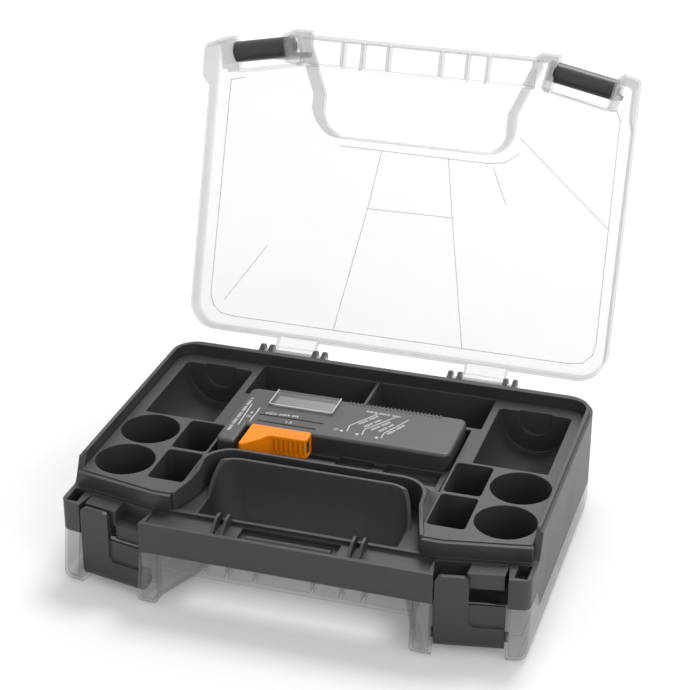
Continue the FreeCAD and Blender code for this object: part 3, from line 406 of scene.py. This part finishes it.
class Finish(Enum):
    """Every finish on the case."""

    FRAME = MouldedPlastic("frame charcoal", to_linear(49, 50, 53), roughness=0.42)
    TRAY = MouldedPlastic("tray charcoal", to_linear(57, 58, 62), roughness=0.45)
    LATCH = MouldedPlastic("latch charcoal", to_linear(46, 47, 50), roughness=0.36)
    TESTER = MouldedPlastic("tester grey", to_linear(54, 53, 55), roughness=0.38, grain=3200.0,
                            mottle=0.08, specular=0.7)
    SLIDER = MouldedPlastic("slider orange", to_linear(250, 140, 0), roughness=0.42, mottle=0.05,
                            specular=0.3, grain_depth=0.00002)
    SLIDER_MARK = MouldedPlastic("slider mark", to_linear(206, 104, 14), roughness=0.45, mottle=0.05)
    BOARD = MouldedPlastic("board green", to_linear(30, 84, 48), roughness=0.35)
    DIAL = MouldedPlastic("dial grey", to_linear(143, 143, 146), roughness=0.6, mottle=0.10)
    CLEAR = ClearPlastic("lid clear")
    WINDOW = ClearPlastic("window clear", face_alpha=0.16, edge_alpha=0.8, edge_shade=0.9)
    # also carries the painted highlight line round the lid's rim
    LINE = ClearPlastic("lid line and rim highlight", tint=(0.55, 0.56, 0.58), face_alpha=0.22, edge_alpha=0.5)
    PIN = Metal("pin steel", (0.62, 0.62, 0.63))
    CONTACT = Metal("contact nickel", (0.20, 0.195, 0.185), roughness=0.4)
    SCREW = Metal("screw zinc", (0.45, 0.45, 0.47), roughness=0.35)
    # painted highlight: a near-white line standing in for the light caught on the window's bevelled edge
    WINDOW_EDGE = Ink("window bevel highlight", to_linear(214, 214, 216), to_linear(150, 150, 152))
    PRINT = Ink("white print", to_linear(226, 226, 224), to_linear(150, 150, 150))

    def material(self) -> bpy.types.Material:
        """The finish's material, made on first use."""
        found = bpy.data.materials.get(self.value.name)
        return found or self.value.build()


def dress(node: str, finish: Finish) -> None:
    """Gives a CAD node its finish.

    Args:
        node: The node's name.
        finish: The finish.
    """
    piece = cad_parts[node]
    piece.data.materials.clear()
    piece.data.materials.append(finish.material())


# ---- Mesh helpers ----------------------------------------------------------------------------
def piece_from(name: str, mesh: bmesh.types.BMesh, finish: Finish, body: str) -> bpy.types.Object:
    """Turns a bmesh in row-frame metres into a piece that rides on a body.

    Args:
        name: The piece's name.
        mesh: Its shape; it is freed.
        finish: Its finish.
        body: The body that it rides on.

    Returns:
        The piece.
    """
    data = bpy.data.meshes.new(name)
    mesh.to_mesh(data)
    mesh.free()
    data.materials.append(finish.material())
    piece = bpy.data.objects.new(name, data)
    bpy.context.scene.collection.objects.link(piece)
    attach(piece, body)
    return piece


def add_bar(mesh: bmesh.types.BMesh, start: Vector, end: Vector, width: float, height: float,
            normal: Vector) -> None:
    """Adds a thin bar between two points on a surface.

    Args:
        mesh: The bmesh to add to.
        start: One end, in metres, on the surface.
        end: The other end.
        width: Width across the surface.
        height: Thickness along the normal, half of it below the surface.
        normal: The surface's outward normal.
    """
    along = end - start
    ahead = along.normalized()
    across = normal.cross(ahead).normalized()
    turn = Matrix((ahead, across, normal.normalized())).transposed().to_4x4()
    size = Matrix.Diagonal((along.length + width, width, height, 1.0))
    place = Matrix.Translation((start + end) / 2) @ turn @ size
    bmesh.ops.create_cube(mesh, size=1.0, matrix=place)


def add_strokes(mesh: bmesh.types.BMesh, line: Sequence[Point], top: float, width: float,
                height: float) -> None:
    """Adds a bent line of thin bars on a level face.

    Args:
        mesh: The bmesh to add to.
        line: The line's points, in millimetres.
        top: Height of the face, in millimetres.
        width: The line's width, in millimetres.
        height: The bars' thickness, in millimetres, half of it in the face.
    """
    for (x_start, y_start), (x_end, y_end) in zip(line, line[1:]):
        add_bar(mesh, Vector((x_start, y_start, top)) * MM, Vector((x_end, y_end, top)) * MM,
                width * MM, height * MM, Vector((0, 0, 1)))


def add_dashes(mesh: bmesh.types.BMesh, start: Point, end: Point, top: float, size: float,
               height: float) -> None:
    """Adds a row of short upright dashes of uneven width, like tiny unreadable print.

    Args:
        mesh: The bmesh to add to.
        start: Where the row starts, in millimetres.
        end: Where it ends.
        top: Height of the face, in millimetres.
        size: How tall the marks are, in millimetres.
        height: The marks' thickness, in millimetres.
    """
    row = Vector(end) - Vector(start)
    ahead = row.normalized()
    up = Vector((-ahead.y, ahead.x))
    pitch = size * DASH_PITCH
    for index in range(int(row.length / pitch)):
        if index % DASHES_IN_A_WORD == DASHES_IN_A_WORD - 1:
            continue
        foot = Vector(start) + ahead * pitch * (index + 0.5)
        tall = size * (1.0 if index % 3 else 0.7)
        add_strokes(mesh, (foot - up * tall / 2, foot + up * tall / 2), top,
                    size * (0.34 if index % 2 else 0.5), height)


# ---- The case --------------------------------------------------------------------------------
@dataclass
class Case:
    """Frame, trays, pins and latches."""

    frame_nodes: Sequence[str] = ("body_frame",)
    tray_nodes: Sequence[str] = ("upper_tray", "lower_tray")
    pin_nodes: Sequence[str] = ("upper_hinge_pins", "lower_hinge_pins")
    latch_nodes: Sequence[str] = ("upper_latch_left", "upper_latch_right",
                                  "lower_latch_left", "lower_latch_right")

    def build(self) -> int:
        """Dresses the nodes.

        Returns:
            How many nodes were dressed.
        """
        groups = ((self.frame_nodes, Finish.FRAME), (self.tray_nodes, Finish.TRAY),
                  (self.pin_nodes, Finish.PIN), (self.latch_nodes, Finish.LATCH))
        for nodes, finish in groups:
            for node in nodes:
                dress(node, finish)
        return sum(len(nodes) for nodes, _ in groups)


class Side(Enum):
    """Which lid."""

    UPPER = "upper_lid"
    LOWER = "lower_lid"


@dataclass
class Lid:
    """One clear lid with the fine lines moulded in its face and a painted highlight line round its rim.
    """

    side: Side
    case_height: float = 68.5
    hinge_y: float = 85.2
    hinge_z: float = 50.5
    open_angle: float = 108.0
    line_width: float = 0.45
    line_height: float = 0.1
    lines: Sequence[Sequence[Point]] = (
        ((-18.8, -23.7), (-23.3, 6.6), (-35.5, 71.9)),
        ((16.6, -23.8), (21.8, 6.0), (34.0, 71.9)),
        ((-23.3, 6.6), (21.8, 6.0)),
        ((-41.8, -24.0), (36.9, -23.6), (46.0, -25.0), (52.6, -30.0)),
        ((40.0, -22.5), (48.8, -3.9)),
        ((52.6, -38.0), (101.6, 2.0)),
        ((-97.2, 64.0), (-76.1, 32.5)),
        # The last line runs round the rim: a painted highlight line standing in for the light caught on
        # the rim fillet, not a moulded line.
        ((-96.5, -54.0), (-104.0, -52.0), (-105.2, 62.0), (-103.0, 68.0), (-98.5, 71.5), (-90.0, 72.3),
         (90.0, 72.3), (97.0, 71.0), (101.5, 66.5), (102.6, 60.0), (101.4, -52.0), (99.5, -56.0),
         (94.3, -58.1), (65.8, -62.6)),
    )

    def place(self) -> Matrix:
        """The transform from the shut upper lid to this lid at rest, in metres."""
        if self.side is Side.LOWER:
            middle = Matrix.Translation((0, 0, self.case_height / 2 * MM))
            return middle @ Matrix.Rotation(math.pi, 4, "Y") @ middle.inverted()
        hinge = Matrix.Translation((0, self.hinge_y * MM, self.hinge_z * MM))
        return hinge @ Matrix.Rotation(-math.radians(self.open_angle), 4, "X") @ hinge.inverted()

    def panel_lines(self) -> bmesh.types.BMesh:
        """The fine lines in the lid's face and the painted highlight line round its rim.

        Returns:
            The lines as one bmesh.
        """
        mesh = bmesh.new()
        top = self.case_height - self.line_height / 2
        for line in self.lines:
            add_strokes(mesh, line, top, self.line_width, self.line_height)
        bmesh.ops.transform(mesh, matrix=self.place(), verts=mesh.verts)
        return mesh

    def build(self) -> int:
        """Dresses the lid and adds its lines.

        Returns:
            How many pieces and nodes were made.
        """
        dress(self.side.value, Finish.CLEAR)
        piece_from(self.side.value + "_lines", self.panel_lines(), Finish.LINE, self.side.value)
        return 2


@dataclass
class Tester:
    """The battery tester: housing, slider, window and its printed guides."""

    top: float = 55.4
    slider_top: float = 56.6
    ink: float = 0.06
    line: float = 0.42
    mark: float = 1.15
    lines: Sequence[Sequence[Point]] = (
        ((-48.7, -0.9), (-49.5, 20.0)), ((-44.6, 3.6), (-44.4, 17.4)),
        ((2.8, 8.3), (2.4, 14.0), (12.1, 29.1)), ((10.6, 7.4), (10.4, 12.6), (20.9, 28.2)),
        ((20.2, 6.9), (20.2, 11.8), (27.7, 27.3)),
    )
    rows: Sequence[tuple[Point, Point]] = (
        ((-51.5, -7.9), (-51.2, 27.0)), ((-40.0, 13.6), (-23.0, 14.8)),
        ((6.2, 16.8), (12.8, 27.0)), ((9.4, 14.8), (15.5, 24.4)), ((13.4, 13.0), (20.4, 23.8)),
        ((17.4, 12.6), (22.6, 22.0)), ((22.0, 11.4), (27.6, 22.8)), ((6.0, 30.0), (24.0, 29.4)),
    )
    arrows: Sequence[Point] = ((0.2, 8.0), (8.2, 7.0), (18.0, 6.6))
    rings: Sequence[Point] = ((-46.6, 8.0), (-2.8, 8.6), (-37.4, 14.0))
    ring_radius: float = 1.25
    ring_steps: int = 16
    ring_line: float = 0.6
    arrow_radius: float = 1.15
    numeral_places: Sequence[tuple[str, Point]] = (("1.5", (-26.5, 8.0)), ("9", (-46.6, 11.6)))
    numeral_size: float = 3.0
    grip_x: tuple[float, float] = (-5.0, 44.0)
    grip_y: tuple[float, float] = (34.4, 36.6)
    grip_pitch: float = 1.9
    grip_size: tuple[float, float] = (0.8, 0.5)
    grip_round: float = 0.2
    slider_marks_x: tuple[float, float] = (-28.5, -14.0)
    slider_marks_y: tuple[float, float] = (-6.6, -5.0)
    slider_marks_count: int = 7
    slider_marks_lean: float = 0.4
    bold: float = 0.5
    window_x: tuple[float, float] = (-41.2, -8.9)
    window_y: tuple[float, float] = (21.7, 36.7)
    window_top: float = 56.4
    finishes: dict = field(default_factory=lambda: {
        "tester_base": Finish.TESTER, "tester_cover": Finish.TESTER, "tester_window": Finish.WINDOW,
        "tester_display": Finish.DIAL, "tester_board": Finish.BOARD, "tester_slider": Finish.SLIDER,
        "slider_contact": Finish.CONTACT, "fixed_contact": Finish.CONTACT,
        "nine_volt_contacts": Finish.CONTACT, "tester_screws": Finish.SCREW})

    def guides(self) -> bmesh.types.BMesh:
        """Printed lines, arrow heads, polarity rings and rows of tiny marks.

        Returns:
            The print as one bmesh.
        """
        mesh = bmesh.new()
        for line in self.lines:
            add_strokes(mesh, line, self.top, self.line, self.ink)
        for start, end in self.rows:
            add_dashes(mesh, start, end, self.top, self.mark, self.ink)
        for place in self.arrows:
            self.add_arrow(mesh, place)
        for place in self.rings:
            self.add_ring(mesh, place)
        return mesh

    def add_arrow(self, mesh: bmesh.types.BMesh, place: Point) -> None:
        """Adds a filled triangle that points to the right.

        Args:
            mesh: The bmesh to add to.
            place: The triangle's middle, in millimetres.
        """
        turn = Matrix.Translation(Vector((*place, self.top)) * MM) @ Matrix.Rotation(math.pi / 2, 4, "Z")
        bmesh.ops.create_cone(mesh, cap_ends=True, segments=3, radius1=self.arrow_radius * MM,
                              radius2=self.arrow_radius * MM, depth=self.ink * MM, matrix=turn)

    def add_ring(self, mesh: bmesh.types.BMesh, place: Point) -> None:
        """Adds a small ring with a plus in it.

        Args:
            mesh: The bmesh to add to.
            place: The ring's middle, in millimetres.
        """
        x, y = place
        circle = [(x + self.ring_radius * math.cos(2 * math.pi * step / self.ring_steps),
                   y + self.ring_radius * math.sin(2 * math.pi * step / self.ring_steps))
                  for step in range(self.ring_steps + 1)]
        reach = self.ring_radius * 0.6
        for line in (circle, ((x - reach, y), (x + reach, y)), ((x, y - reach), (x, y + reach))):
            add_strokes(mesh, line, self.top, self.line * self.ring_line, self.ink)

    def numerals(self) -> bmesh.types.BMesh:
        """The printed voltages.

        Returns:
            The numerals as one bmesh.
        """
        whole = bmesh.new()
        for words, (x, y) in self.numeral_places:
            text = bpy.data.curves.new("numeral", "FONT")
            text.body = words
            text.size = self.numeral_size * MM
            text.align_x = "CENTER"
            text.align_y = "CENTER"
            text.extrude = self.ink / 2 * MM
            holder = bpy.data.objects.new("numeral", text)
            flat = bpy.data.meshes.new_from_object(holder)
            flat.transform(Matrix.Translation(Vector((x, y, self.top)) * MM))
            whole.from_mesh(flat)
            bpy.data.meshes.remove(flat)
            bpy.data.objects.remove(holder)
            bpy.data.curves.remove(text)
        return whole

    def grip(self) -> bmesh.types.BMesh:
        """Low finger ribs along the housing's back edge.

        Returns:
            The ribs as one bmesh.
        """
        mesh = bmesh.new()
        for index in range(int((self.grip_x[1] - self.grip_x[0]) / self.grip_pitch)):
            x = self.grip_x[0] + self.grip_pitch * (index + 0.5)
            add_strokes(mesh, ((x, self.grip_y[0]), (x, self.grip_y[1])), self.top, *self.grip_size)
        bmesh.ops.bevel(mesh, geom=mesh.edges[:], affect="EDGES", offset=self.grip_round * MM,
                        segments=2, profile=0.5, material=-1)
        return mesh

    def slider_marks(self) -> bmesh.types.BMesh:
        """The row of fine marks on the slider's top.

        Returns:
            The marks as one bmesh.
        """
        mesh = bmesh.new()
        (left, right), (front, back) = self.slider_marks_x, self.slider_marks_y
        step = (right - left) / (self.slider_marks_count - 1)
        for index in range(self.slider_marks_count):
            x = left + step * index
            line = ((x, front), (x + self.slider_marks_lean, back))
            add_strokes(mesh, line, self.slider_top, self.bold, self.ink)
        return mesh

    def build(self) -> int:
        """Dresses the tester's nodes, prints its guides and paints a highlight round its window.

        Returns:
            How many pieces and nodes were made.
        """
        for node, finish in self.finishes.items():
            dress(node, finish)
        # painted highlight: a pale line round the window standing in for its lit bevel
        (left, right), (front, back) = self.window_x, self.window_y
        edge = bmesh.new()
        add_strokes(edge, ((left, back), (left, front), (right, front), (right, back)),
                    self.window_top, self.bold, self.ink)
        prints = (
            ("window_bevel_highlight", edge, Finish.WINDOW_EDGE, "frame", "window_plastic"),
            ("tester_guides", self.guides(), Finish.PRINT, "frame", "tester_plastic"),
            ("tester_numerals", self.numerals(), Finish.PRINT, "frame", "tester_plastic"),
            ("tester_grip", self.grip(), Finish.TESTER, "frame", "tester_plastic"),
            ("slider_marks", self.slider_marks(), Finish.SLIDER_MARK, "tester_slider", "slider_plastic"),
        )
        for name, mesh, finish, body, slot in prints:
            piece_from(name, mesh, finish, body)
        return len(self.finishes) + len(prints)


# ---- Studio ----------------------------------------------------------------------------------
@dataclass
class Studio:
    """Floor, light and camera."""

    azimuth: float = 17.435
    elevation: float = 26.682
    roll: float = 0.165
    camera_place: Place = (0.23667, -0.73970, 0.49516)
    lens: float = 98.39
    film_width: float = 36.0
    sight: float = 30.0
    floor_size: float = 6.0
    world_level: float = 0.57
    floor_glow: float = 0.14
    lamp_aim: Place = (0, 0.03, 0.06)
    lamps: Sequence[tuple[str, Place, float, float]] = (
        ("key", (0.12, 0.82, 1.55), 0.6, 14.5),
        ("fill", (1.2, -1.0, 0.9), 1.0, 8.0),
        ("back", (0.05, 1.6, 1.1), 1.3, 6.8),
    )

    def camera(self) -> None:
        """Places the camera."""
        turn = math.radians(self.azimuth)
        lift = math.radians(self.elevation)
        tilt = math.radians(self.roll)
        level = math.cos(lift)
        back = Vector((math.sin(turn) * level, -math.cos(turn) * level, math.sin(lift)))
        right = Vector((0, 0, 1)).cross(back).normalized()
        up = back.cross(right)
        level_right = right * math.cos(tilt) + up * math.sin(tilt)
        level_up = up * math.cos(tilt) - right * math.sin(tilt)
        data = bpy.data.cameras.new("camera")
        data.lens = self.lens
        data.sensor_width = self.film_width
        data.clip_end = self.sight
        camera = bpy.data.objects.new("camera", data)
        turn_matrix = Matrix((level_right, level_up, back)).transposed().to_4x4()
        camera.matrix_world = Matrix.Translation(self.camera_place) @ turn_matrix
        bpy.context.scene.collection.objects.link(camera)
        bpy.context.scene.camera = camera

    def floor(self) -> None:
        """Makes the pale floor."""
        mesh = bmesh.new()
        bmesh.ops.create_grid(mesh, x_segments=1, y_segments=1, size=self.floor_size / 2)
        data = bpy.data.meshes.new("floor")
        mesh.to_mesh(data)
        mesh.free()
        floor = bpy.data.objects.new("floor", data)
        bpy.context.scene.collection.objects.link(floor)
        graph = Graph.named("floor white")
        paper = graph.principled(Base_Color=(0.97, 0.97, 0.97), Roughness=0.8, Specular_IOR_Level=0.1)
        glow = graph.add("ShaderNodeEmission", None, {"Color": (1.0, 1.0, 1.0, 1.0), "Strength": 1.0})
        seen = graph.add("ShaderNodeLightPath", output="Is Camera Ray")
        shader = graph.add("ShaderNodeMixShader", None, [seen * self.floor_glow, paper, glow])
        data.materials.append(graph.finish(shader))

    def lamp(self, name: str, place: Place, size: float, power: float) -> None:
        """Adds a square area lamp aimed at the case.

        Args:
            name: The lamp's name.
            place: Where it hangs, in metres.
            size: Its side.
            power: Its power in watts.
        """
        data = bpy.data.lights.new(name, "AREA")
        data.size = size
        data.energy = power
        lamp = bpy.data.objects.new(name, data)
        lamp.visible_camera = False
        lamp.location = place
        aim = Vector(self.lamp_aim) - Vector(place)
        lamp.rotation_euler = aim.to_track_quat("-Z", "Y").to_euler()
        bpy.context.scene.collection.objects.link(lamp)

    def world(self) -> None:
        """Sets the surroundings: white to the eye and in glass, softer as light."""
        world = bpy.data.worlds.new("studio")
        bpy.context.scene.world = world
        graph = Graph(world)
        rays = [graph.add("ShaderNodeLightPath", output="Is %s Ray" % kind)
                for kind in ("Camera", "Glossy", "Transmission")]
        direct = graph.add("ShaderNodeMath", {"operation": "MAXIMUM"}, rays[:2])
        seen = graph.add("ShaderNodeMath", {"operation": "MAXIMUM"}, [direct, rays[2]])
        sockets = {"Color": (1.0, 1.0, 1.0, 1.0),
                   "Strength": seen * (1.0 - self.world_level) + self.world_level}
        background = graph.add("ShaderNodeBackground", None, sockets)
        graph.add("ShaderNodeOutputWorld", None, {"Surface": background})

    def build(self) -> None:
        """Sets up everything that isn't the case."""
        bpy.context.scene.view_settings.view_transform = "Standard"
        self.floor()
        self.world()
        for name, place, size, power in self.lamps:
            self.lamp(name, place, size, power)
        self.camera()


def main() -> None:
    """Builds and dresses the whole case."""
    logging.basicConfig(level=logging.INFO, format="%(message)s")
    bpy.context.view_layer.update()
    builders: Sequence[tuple[str, Callable[[], int]]] = (
        ("case", Case().build),
        ("upper lid", Lid(Side.UPPER).build),
        ("lower lid", Lid(Side.LOWER).build),
        ("tester", Tester().build),
    )
    for name, build in builders:
        log.info("%s: %d pieces", name, build())
    Studio().build()
    bpy.context.view_layer.update()


if __name__ == "__main__":
    main()
